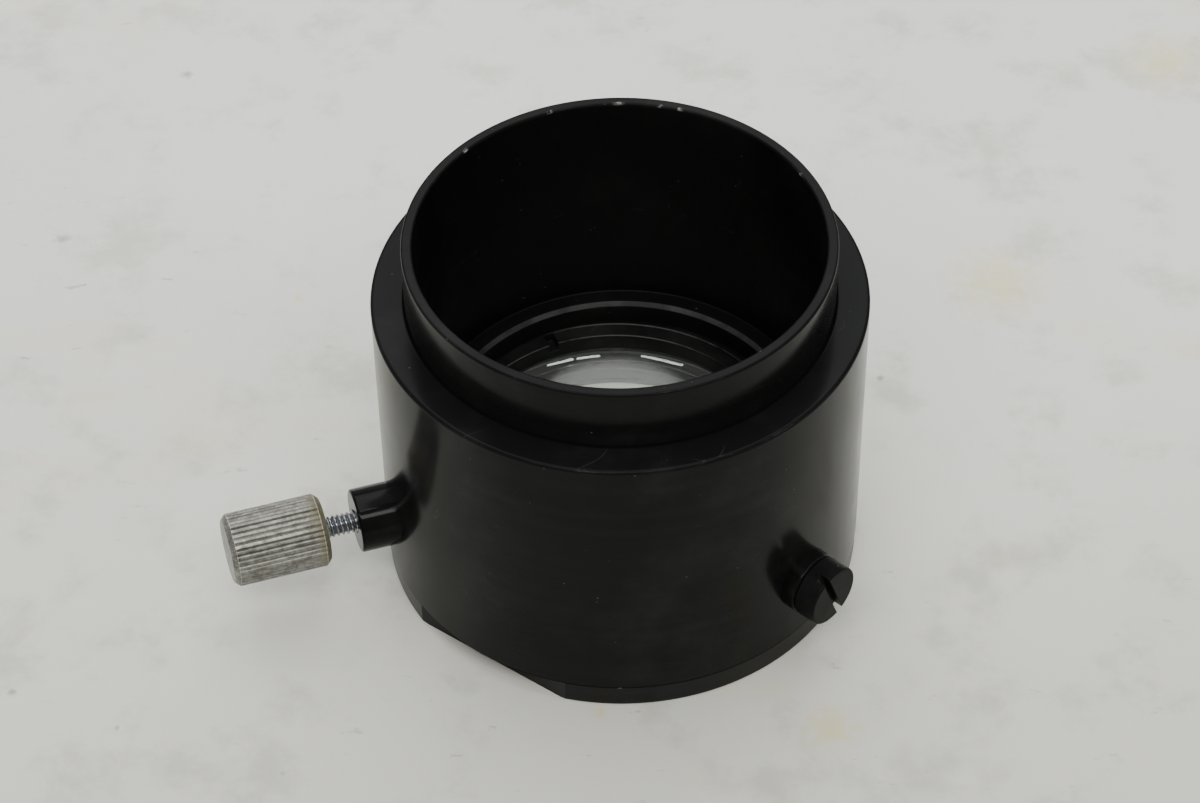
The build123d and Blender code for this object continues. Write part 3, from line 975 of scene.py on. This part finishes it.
def screw_finish(finish):
    """Black oxide steel, rubbed grey on its face."""
    material, nodes, shader = new_material("Black oxide screw")
    patch = nodes.noise(420.0, 4.0, 0.6)
    rubbed = nodes.times(nodes.mark("edge"), nodes.ramp(patch, 0.35, 0.62, 0.12, 0.85))
    settled = nodes.group("Dust", Specks=0.3, Film=0.02)["Mask"]
    grey = shade(finish.worn_anodise, 0.1)
    tone = nodes.layered(shade(finish.anodise, 0.9), (rubbed, grey), (settled, finish.dust))
    nodes.put({"Base Color": tone, "Roughness": nodes.gloss(0.2, 0.42)}, shader)
    nodes.put({"Specular IOR Level": 0.04, "Normal": nodes.bump(patch, 0.35, 0.00002)}, shader)
    return material


def nylon_finish(finish):
    """Natural nylon: slightly mottled, waxy, with faint handling marks."""
    material, nodes, shader = new_material("Natural nylon")
    patch = nodes.noise(600.0, 4.0)
    tone = nodes.blend(nodes.ramp(patch, 0.4, 0.75), finish.nylon, shade(finish.nylon, 0.72))
    nodes.put({"Base Color": tone, "Roughness": nodes.gloss(0.35, 0.55)}, shader)
    nodes.put({"Normal": nodes.bump(patch, 0.25, 0.00002)}, shader)
    return material


def glass_finish():
    """Polished optical glass that lets the lamps shine through to what lies under it."""
    material, nodes, shader = new_material("Optical glass")
    nodes.put({"Base Color": (0.96, 0.975, 0.955, 1), "Transmission Weight": 1.0, "IOR": 1.52}, shader)
    nodes.put({"Roughness": nodes.gloss(0.0, 0.012)}, shader)
    shadow = nodes.node("ShaderNodeLightPath").outputs["Is Shadow Ray"]
    solid = nodes.tree.nodes["Principled BSDF"].outputs["BSDF"]
    clear = nodes.node("ShaderNodeBsdfTransparent", {"Color": (0.93, 0.95, 0.93, 1)}).outputs["BSDF"]
    both = nodes.node("ShaderNodeMixShader", {0: shadow, 1: solid, 2: clear}).outputs["Shader"]
    nodes.put({"Surface": both}, nodes.tree.nodes["Material Output"].inputs)
    return material


def blackened_rim_finish():
    """Lens rim ground matt and painted black against stray light, thinner in places."""
    material, nodes, shader = new_material("Blackened lens rim")
    grit = nodes.noise(5000.0, 3.0, 0.7)
    worn = nodes.ramp(nodes.noise(300.0, 3.0), 0.5, 0.8, 0.0, 0.35)
    tone = nodes.layered(
        (0.012, 0.012, 0.013, 1),
        (nodes.ramp(grit, 0.3, 0.7), (0.03, 0.032, 0.032, 1)),
        (worn, (0.12, 0.13, 0.13, 1)),
    )
    nodes.put({"Base Color": tone, "Roughness": nodes.ramp(grit, 0.2, 0.8, 0.55, 0.85)}, shader)
    nodes.put({"Normal": nodes.bump(grit, 0.5, 0.00002)}, shader)
    return material


# Marks on the table: x, y and radius.
STAINS = (
    (-0.003, -0.032, 0.0016),
    (0.026, -0.035, 0.0052),
    (0.054, 0.046, 0.0095),
    (-0.046, 0.044, 0.0011),
    (0.084, 0.095, 0.009),
)
SCUFFS = (
    (0.036, 0.027, 0.0008),
    (-0.081, 0.057, 0.0016),
    (-0.078, -0.028, 0.0009),
    (-0.064, -0.034, 0.0006),
    (-0.066, 0.094, 0.0014),
)


def ragged_marks(nodes, marks):
    """Mask of ragged round marks, each given by its x, y and radius."""
    ragged = nodes.times(nodes.noise(650.0, 5.0, 0.65), 1.8)
    mask = 0.0
    for x, y, radius in marks:
        inputs = {0: nodes.place, 1: (x, y, 0)}
        away = nodes.node("ShaderNodeVectorMath", inputs, operation="DISTANCE").outputs["Value"]
        part = nodes.plus(nodes.maths("DIVIDE", away, radius), ragged)
        mask = nodes.larger(nodes.ramp(part, 0.9, 1.9, 1.0, 0.0), mask)
    return mask


def table_finish(finish):
    """Pale worn table top: broad grey clouds, small blots, dark scuffs and yellow stains.

    Its near side is darker, where less of the room's light falls.
    """
    material, nodes, shader = new_material("Pale table top")
    pale = finish.table
    dark = shade(pale, 0.25)
    clouds = nodes.noise(9.0, 5.0, 0.6)
    blots = nodes.noise(60.0, 5.0, 0.65)
    scuffs = nodes.ramp(nodes.noise(1.0, 6.0, 0.7, (160, 420, 1)), 0.62, 0.7)
    stain = nodes.ramp(nodes.noise(14.0, 6.0, 0.62, (1, 1.6, 1)), 0.57, 0.68)
    stain = nodes.larger(ragged_marks(nodes, STAINS), nodes.times(stain, 0.5))
    tone = nodes.layered(
        pale,
        (nodes.ramp(clouds, 0.35, 0.65), shade(pale, 0.93)),
        (nodes.times(nodes.ramp(blots, 0.5, 0.68), 0.7), shade(pale, (0.7, 0.7, 0.67))),
        (nodes.times(scuffs, nodes.ramp(clouds, 0.46, 0.6), 0.5), dark),
        (nodes.times(stain, 0.65), shade(pale, (0.92, 0.85, 0.46))),
        (nodes.times(ragged_marks(nodes, SCUFFS), 0.6), dark),
    )
    away = nodes.node("ShaderNodeSeparateXYZ", {"Vector": nodes.place}).outputs["Y"]
    near = nodes.ramp(away, -0.09, 0.09, 1.0, 0.0)
    tone = nodes.blend(near, tone, (0.7, 0.7, 0.67, 1), "MULTIPLY")
    nodes.put({"Base Color": tone, "Roughness": nodes.ramp(blots, 0.3, 0.7, 0.5, 0.68)}, shader)
    nodes.put({"Normal": nodes.bump(blots, 0.2, 0.0002)}, shader)
    return material


# ---------------------------------------------------------------------------
# Operators, one for each piece or group of like pieces
# ---------------------------------------------------------------------------


def turned_piece(
    name, node, body, material, profiled, origin, direction, angles, shape=None, sharp=35.0
):
    """Piece in one material, turned about an axis from an outline and its edge marks."""
    outline, edge = profiled
    points, faces = turned(outline, origin, direction, angles, shape)
    marks = {"edge": round_the_axis(edge, len(angles))}
    make_piece(name, points, faces, body, [node], [material], marks, sharp=sharp)


class EYEPIECE_OT_barrel(bpy.types.Operator):
    """Build the outer barrel with its collar, ledge and screw holes"""

    bl_idname = "eyepiece.barrel"
    bl_label = "Barrel"

    def execute(self, context):
        sizes, finish = context.scene.eyepiece_sizes, context.scene.eyepiece_finish
        points, faces, edge, spots, inside = barrel_surface(sizes)
        black = black_finish("Satin black anodise", finish.anodise, finish, 0.14, 0.21, 0.3, 0.2, 0.072)
        blacks = [black, bore_finish(finish)]
        marks = {"edge": edge, "spots": spots}
        make_piece("barrel", points, faces, "barrel", ["outer_barrel"], blacks, marks, inside)
        return {"FINISHED"}


class EYEPIECE_OT_foot_ring(bpy.types.Operator):
    """Build the base ring with its two spanner flats"""

    bl_idname = "eyepiece.foot_ring"
    bl_label = "Foot ring"

    def execute(self, context):
        sizes, finish = context.scene.eyepiece_sizes, context.scene.eyepiece_finish
        radius = float(np.hypot(*vertices_of("base_ring")[:, :2].T).max())
        top = heights("base_ring")[1]
        outline, edge = profile(
            [
                (sizes.port_radius, 0),
                (radius, 0),
                (radius, sizes.barrel_foot),
                (sizes.spigot_radius, sizes.barrel_foot),
                (sizes.spigot_radius, top),
                (sizes.spigot_bore, top),
                (sizes.spigot_bore, sizes.port_lip),
                (sizes.port_radius, sizes.port_lip),
            ],
            sizes.edge_break * np.array((0.5, 1, 0.4, 0.4, 0.6, 0.6, 0.4, 0.5)),
            0.002,
            steps=6,
        )
        edge = with_painted_seam_shade(edge, outline, sizes)
        half_flat = math.acos(sizes.flat_distance / radius)
        turns = np.array((0, math.pi)) + sizes.flat_azimuth
        exact = np.concatenate((turns - half_flat, turns + half_flat))
        angles = np.unique(np.concatenate((even_angles(BARREL_COLUMNS), exact)) % (2 * math.pi))
        angles = angles[np.concatenate((np.diff(angles) > 1e-4, [True]))]

        def shape(angles, reach_out, height):
            """The radius, but no more than flat distance / |cos(angle - flat azimuth)|."""
            facing = np.maximum(np.abs(np.cos(angles - sizes.flat_azimuth)), 0.01)
            return np.minimum(reach_out, sizes.flat_distance / facing), height

        black = black_finish("Ring black anodise", finish.anodise, finish, 0.2, 0.3, 0.4, 0.2, 0.14)
        turned_piece(
            "foot_ring",
            "base_ring",
            "barrel",
            black,
            (outline, edge),
            (0, 0, 0),
            UP,
            angles,
            shape,
            sharp=20.0,
        )
        return {"FINISHED"}


class EYEPIECE_OT_bosses(bpy.types.Operator):
    """Build the three bosses that guide the screws"""

    bl_idname = "eyepiece.bosses"
    bl_label = "Screw bosses"

    def execute(self, context):
        sizes, finish = context.scene.eyepiece_sizes, context.scene.eyepiece_finish
        base = shade(finish.anodise, 0.5)
        black = black_finish("Gloss black anodise", base, finish, 0.06, 0.13, 0.2, 0.15, 0.09, lines=0.4)
        angles = even_angles(BOSS_COLUMNS)
        for node, direction in (("thumb_boss", THUMB), ("right_boss", RIGHT), ("rear_boss", REAR)):
            near, far = reach(node, direction)
            radius = half_width(node, 2)
            profiled = profile(
                [
                    (sizes.boss_bore, near),
                    (sizes.boss_shank, near),
                    (sizes.boss_shank, sizes.boss_seat),
                    (radius, sizes.boss_seat),
                    (radius, far),
                    (sizes.boss_bore, far),
                ],
                sizes.edge_break * np.array((0.4, 0.6, 0.4, 0.4, 1.1, 0.8)),
                0.0012,
            )
            name, origin = node + "_turned", (0, 0, SCREW_HEIGHT)
            turned_piece(name, node, "barrel", black, profiled, origin, direction, angles)
        return {"FINISHED"}


class EYEPIECE_OT_thumbscrew(bpy.types.Operator):
    """Build the knurled knob and its threaded stud"""

    bl_idname = "eyepiece.thumbscrew"
    bl_label = "Thumbscrew"

    def execute(self, context):
        sizes, finish = context.scene.eyepiece_sizes, context.scene.eyepiece_finish
        near, far = reach("thumb_knob", THUMB)
        stud_near, stud_far = reach("thumb_stud", THUMB)
        stud_radius = half_width("thumb_stud", 2)
        knob_radius = half_width("thumb_knob", 2)
        neck = stud_far - near + sizes.stud_neck
        knob = knurled_knob(near, stud_far, far, knob_radius, stud_radius, sizes)
        stud = threaded_rod(stud_near, stud_far, stud_radius, sizes, THUMB, neck)
        for name, node, slot, material, (points, faces, marks) in (
            ("knurled_knob", "thumb_knob", "knob_aluminium", knob_finish(finish), knob),
            ("threaded_stud", "thumb_stud", "stud_steel", steel_finish(finish), stud),
        ):
            make_piece(name, points, faces, "thumb_screw", [node], [material], marks)
        return {"FINISHED"}


class EYEPIECE_OT_slotted_screws(bpy.types.Operator):
    """Build the two slotted screws"""

    bl_idname = "eyepiece.slotted_screws"
    bl_label = "Slotted screws"

    def execute(self, context):
        sizes = context.scene.eyepiece_sizes
        black = [screw_finish(context.scene.eyepiece_finish)]
        for node, direction, turn in (
            ("right_screw", RIGHT, sizes.right_slot),
            ("rear_screw", REAR, sizes.rear_slot),
        ):
            near, far = reach(node, direction)
            head_near = far - sizes.head_length
            head, head_faces, face = slotted_head(head_near, far, half_width(node, 2), sizes, direction, turn)
            rod, rod_faces, _ = threaded_rod(
                near, head_near + HEAD_OVERLAP, sizes.boss_bore - THREAD_GAP, sizes, direction, SCREW_NECK
            )
            points = np.concatenate((head, rod))
            faces = np.concatenate((head_faces, rod_faces + len(head)))
            marks = {"edge": np.concatenate((face, np.zeros(len(rod))))}
            make_piece(node + "_turned", points, faces, node, [node], black, marks)
        return {"FINISHED"}


class EYEPIECE_OT_plugs(bpy.types.Operator):
    """Give the three plugs their nylon"""

    bl_idname = "eyepiece.plugs"
    bl_label = "Nylon plugs"

    def execute(self, context):
        nylon = nylon_finish(context.scene.eyepiece_finish)
        for node in ("thumb_plug", "right_plug", "rear_plug"):
            for slot in frame["nodes"][node].material_slots:
                slot.material = nylon
        return {"FINISHED"}


class EYEPIECE_OT_cell(bpy.types.Operator):
    """Build the floating lens cell, its spacer and its notched retaining ring"""

    bl_idname = "eyepiece.cell"
    bl_label = "Lens cell"

    def execute(self, context):
        sizes, finish = context.scene.eyepiece_sizes, context.scene.eyepiece_finish
        black = black_finish("Matt black cell", finish.bore_black, finish, 0.34, 0.5, 0.62, 0.3, 0.13)
        radius = half_width("lens_cell")
        nose, top = heights("lens_cell")
        pair_hole = half_width("flint_lens") + LENS_GAP
        field_hole = half_width("field_lens") + LENS_GAP
        body_corners = [
            (sizes.lip_radius, nose),
            (sizes.nose_radius, nose),
            (sizes.nose_radius, sizes.cell_flange),
            (radius, sizes.cell_flange),
            (radius, top),
            (sizes.ring_thread, top),
            (sizes.ring_thread, sizes.pair_edge),
            (pair_hole, sizes.pair_edge),
            (pair_hole, sizes.pair_seat),
            (field_hole, sizes.pair_seat),
            (field_hole, sizes.field_seat),
            (sizes.lip_radius, sizes.field_seat),
        ]

        def plain_ring(node, bore):
            """Corners of a square-cut ring that fills a node's box."""
            radius, (low, high) = half_width(node), heights(node)
            return [(bore, low), (radius, low), (radius, high), (bore, high)]

        half_notch = sizes.notch_width / 2 / half_width("retaining_ring")
        floor_height = heights("retaining_ring")[1] - sizes.notch_depth

        def off_notch(angles):
            """Turn between each angle and the nearest of the two notches."""
            return np.abs((angles - sizes.notch_azimuth + math.pi / 2) % math.pi - math.pi / 2)

        def notched(angles, reach_out, height):
            """The height, but no more than the notch's floor within half a notch of its middle."""
            cut = np.minimum(height, floor_height)
            return reach_out, np.where(off_notch(angles) < half_notch, cut, height)

        plain = even_angles(CELL_COLUMNS)
        steps = half_notch * np.array((-1.03, -0.97, 0, 0.97, 1.03))
        steps = np.concatenate((steps, steps + math.pi)) + sizes.notch_azimuth
        clear = plain[off_notch(plain) > half_notch * 1.1]
        with_notch = np.sort(np.concatenate((clear, steps)) % (2 * math.pi))
        for name, node, corner_points, angles, shape in (
            ("cell_body", "lens_cell", body_corners, plain, None),
            ("cell_spacer", "lens_spacer", plain_ring("lens_spacer", sizes.spacer_bore), plain, None),
            (
                "cell_retainer",
                "retaining_ring",
                plain_ring("retaining_ring", sizes.retainer_bore),
                with_notch,
                notched,
            ),
        ):
            profiled = profile(corner_points, sizes.edge_break * 0.6, 0.0015)
            turned_piece(name, node, "cell", black, profiled, CELL_CENTRE, UP, angles, shape)
        return {"FINISHED"}


class EYEPIECE_OT_lenses(bpy.types.Operator):
    """Build the field lens and the cemented pair"""

    bl_idname = "eyepiece.lenses"
    bl_label = "Lenses"

    def execute(self, context):
        sizes = context.scene.eyepiece_sizes
        glass = [glass_finish(), blackened_rim_finish()]
        field_radius, pair_radius = half_width("field_lens"), half_width("flint_lens")
        field_edge = heights("field_lens")[1] - sagitta(sizes.field_curve, field_radius)
        crown_edge = heights("crown_lens")[1] - sagitta(sizes.crown_curve, pair_radius)
        seam = heights("flint_lens")[1]
        cemented = -sizes.cemented_curve
        for name, radius, low_edge, high_edge, low_curve, high_curve in (
            ("field", field_radius, sizes.field_seat, field_edge, 0, sizes.field_curve),
            ("flint", pair_radius, sizes.pair_seat, seam - CEMENT, 0, cemented),
            ("crown", pair_radius, seam + CEMENT, crown_edge, cemented, sizes.crown_curve),
        ):
            points, faces, rim = lens_surface(radius, low_edge, high_edge, low_curve, high_curve)
            node = [name + "_lens"]
            make_piece(name + "_glass", points, faces, "cell", node, glass, None, rim)
        return {"FINISHED"}


# The soft boxes look at the origin: name, place, width, height, watts and tint.
SOFT_BOXES = (
    ("Front softbox", (0, -1.25, 2.0), 2.4, 0.5, 38, (1.0, 0.99, 0.96)),
    ("Back softbox", (0, 2.0, 2.0), 3.0, 0.8, 14, (0.98, 0.99, 1.0)),
)
# The tube lamps hang level and look down: name and the places of both ends.
TUBES = (
    ("Tube left", (-0.85, -0.225), (-0.32, -0.39)),
    ("Tube middle", (0.17, -0.392), (0.445, -0.352)),
    ("Tube right", (0.49, -0.346), (0.83, -0.25)),
)
TUBE_HEIGHT = 2.0
TUBE_WIDTH = 0.05
TUBE_WATTS_PER_METRE = 2.6
TUBE_TINT = (0.93, 0.97, 1.0)
# The room brightens smoothly between two cosines of the angle to the middle of the ceiling.
CEILING_DIRECTION = (0, 0.26, 0.966)
CEILING_EDGE = (0.885, 0.945)
ROOM_STRENGTHS = (0.5, 3.2)
ROOM_TINT = (1.0, 1.0, 0.99, 1)
TABLE_HALF_WIDTH = 1.5
TABLE_ROWS = 7
CAMERA_PLACE = (0, -0.2965, 0.3263)
CAMERA_YAW, CAMERA_PITCH, CAMERA_ROLL = -0.0091, math.radians(45.61), -0.0156
CAMERA_LENS_MM, CAMERA_SENSOR_MM = 99.13, 36


def area_light(name, place, width, height, power, tint):
    """Soft rectangular light that looks at the origin and doesn't show itself."""
    lamp = bpy.data.lights.new(name, "AREA")
    lamp.shape = "RECTANGLE"
    lamp.size, lamp.size_y = width, height
    lamp.energy = power
    lamp.color = tint
    made = bpy.data.objects.new(name, lamp)
    made.location = place
    made.rotation_euler = (Vector((0, 0, 0)) - Vector(place)).to_track_quat("-Z", "Y").to_euler()
    made.visible_camera = False
    bpy.context.collection.objects.link(made)
    return made


def make_table(finish):
    """Level table top at the height of the foot."""
    across = np.linspace(-TABLE_HALF_WIDTH, TABLE_HALF_WIDTH, TABLE_ROWS)
    x, y = np.meshgrid(across, across, indexing="xy")
    points = np.stack((x, y, np.zeros_like(x)), axis=-1).reshape(-1, 3)
    mesh = bpy.data.meshes.new("table_top")
    mesh.from_pydata(points.tolist(), [], grid_faces(TABLE_ROWS, TABLE_ROWS, False, False).tolist())
    mesh.materials.append(table_finish(finish))
    table = bpy.data.objects.new("table_top", mesh)
    bpy.context.collection.objects.link(table)


def make_room(scene):
    """Even room light with a brighter ceiling, two soft boxes and three tube lamps."""
    world = bpy.data.worlds.new("Room")
    world.use_nodes = True
    room = Wiring(world.node_tree)
    direction = room.node("ShaderNodeTexCoord").outputs["Generated"]
    inputs = {0: direction, 1: CEILING_DIRECTION}
    overhead = room.node("ShaderNodeVectorMath", inputs, operation="DOT_PRODUCT").outputs["Value"]
    strength = room.ramp(overhead, *CEILING_EDGE, *ROOM_STRENGTHS)
    room.put({"Strength": strength, "Color": ROOM_TINT}, world.node_tree.nodes["Background"].inputs)
    scene.world = world
    for box in SOFT_BOXES:
        area_light(*box)
    for name, first, last in TUBES:
        span = np.subtract(last, first)
        size = float(np.hypot(*span))
        place = (*(np.add(first, last) / 2).tolist(), TUBE_HEIGHT)
        tube = area_light(name, place, size, TUBE_WIDTH, TUBE_WATTS_PER_METRE * size, TUBE_TINT)
        tube.rotation_euler = (0, 0, math.atan2(span[1], span[0]))


def make_camera(scene):
    """Camera that looks down at the eyepiece from the front, turned by yaw, pitch and roll."""
    yaw, pitch, roll = CAMERA_YAW, CAMERA_PITCH, CAMERA_ROLL
    ahead = Vector((math.sin(yaw) * math.cos(pitch), math.cos(yaw) * math.cos(pitch), -math.sin(pitch)))
    level = Vector((math.cos(yaw), -math.sin(yaw), 0))
    above = level.cross(ahead)
    side = math.cos(roll) * level + math.sin(roll) * above
    head = math.cos(roll) * above - math.sin(roll) * level
    camera = bpy.data.cameras.new("Camera")
    camera.lens = CAMERA_LENS_MM
    camera.sensor_width = CAMERA_SENSOR_MM
    camera.clip_start = 0.01
    eye = bpy.data.objects.new("Camera", camera)
    turn = Matrix((side, head, -ahead)).transposed()
    eye.matrix_world = Matrix.Translation(CAMERA_PLACE) @ turn.to_4x4()
    bpy.context.collection.objects.link(eye)
    scene.camera = eye


class EYEPIECE_OT_stage(bpy.types.Operator):
    """Build the table top, the soft lights and the camera"""

    bl_idname = "eyepiece.stage"
    bl_label = "Stage"

    def execute(self, context):
        make_table(context.scene.eyepiece_finish)
        make_room(context.scene)
        make_camera(context.scene)
        return {"FINISHED"}


OPERATORS = (
    EYEPIECE_OT_barrel,
    EYEPIECE_OT_foot_ring,
    EYEPIECE_OT_bosses,
    EYEPIECE_OT_thumbscrew,
    EYEPIECE_OT_slotted_screws,
    EYEPIECE_OT_plugs,
    EYEPIECE_OT_cell,
    EYEPIECE_OT_lenses,
    EYEPIECE_OT_stage,
)


class EYEPIECE_PT_builder(bpy.types.Panel):
    """Lists the operators that build the eyepiece"""

    bl_idname = "EYEPIECE_PT_builder"
    bl_label = "Eyepiece"
    bl_space_type = "VIEW_3D"
    bl_region_type = "UI"
    bl_category = "Eyepiece"

    def draw(self, context):
        for operator in OPERATORS:
            self.layout.operator(operator.bl_idname)


CLASSES = (EyepieceSizes, EyepieceFinish, *OPERATORS, EYEPIECE_PT_builder)


def register():
    """Register the classes and hang the properties on the scene."""
    for entry in CLASSES:
        bpy.utils.register_class(entry)
    bpy.types.Scene.eyepiece_sizes = PointerProperty(type=EyepieceSizes)
    bpy.types.Scene.eyepiece_finish = PointerProperty(type=EyepieceFinish)


def unregister():
    """Remove the properties and the classes."""
    del bpy.types.Scene.eyepiece_finish
    del bpy.types.Scene.eyepiece_sizes
    for entry in reversed(CLASSES):
        bpy.utils.unregister_class(entry)


def main():
    """Build every piece in order."""
    register()
    bpy.ops.eyepiece.stage()
    bpy.ops.eyepiece.barrel()
    bpy.ops.eyepiece.foot_ring()
    bpy.ops.eyepiece.bosses()
    bpy.ops.eyepiece.thumbscrew()
    bpy.ops.eyepiece.slotted_screws()
    bpy.ops.eyepiece.plugs()
    bpy.ops.eyepiece.cell()
    bpy.ops.eyepiece.lenses()


if __name__ == "__main__":
    main()
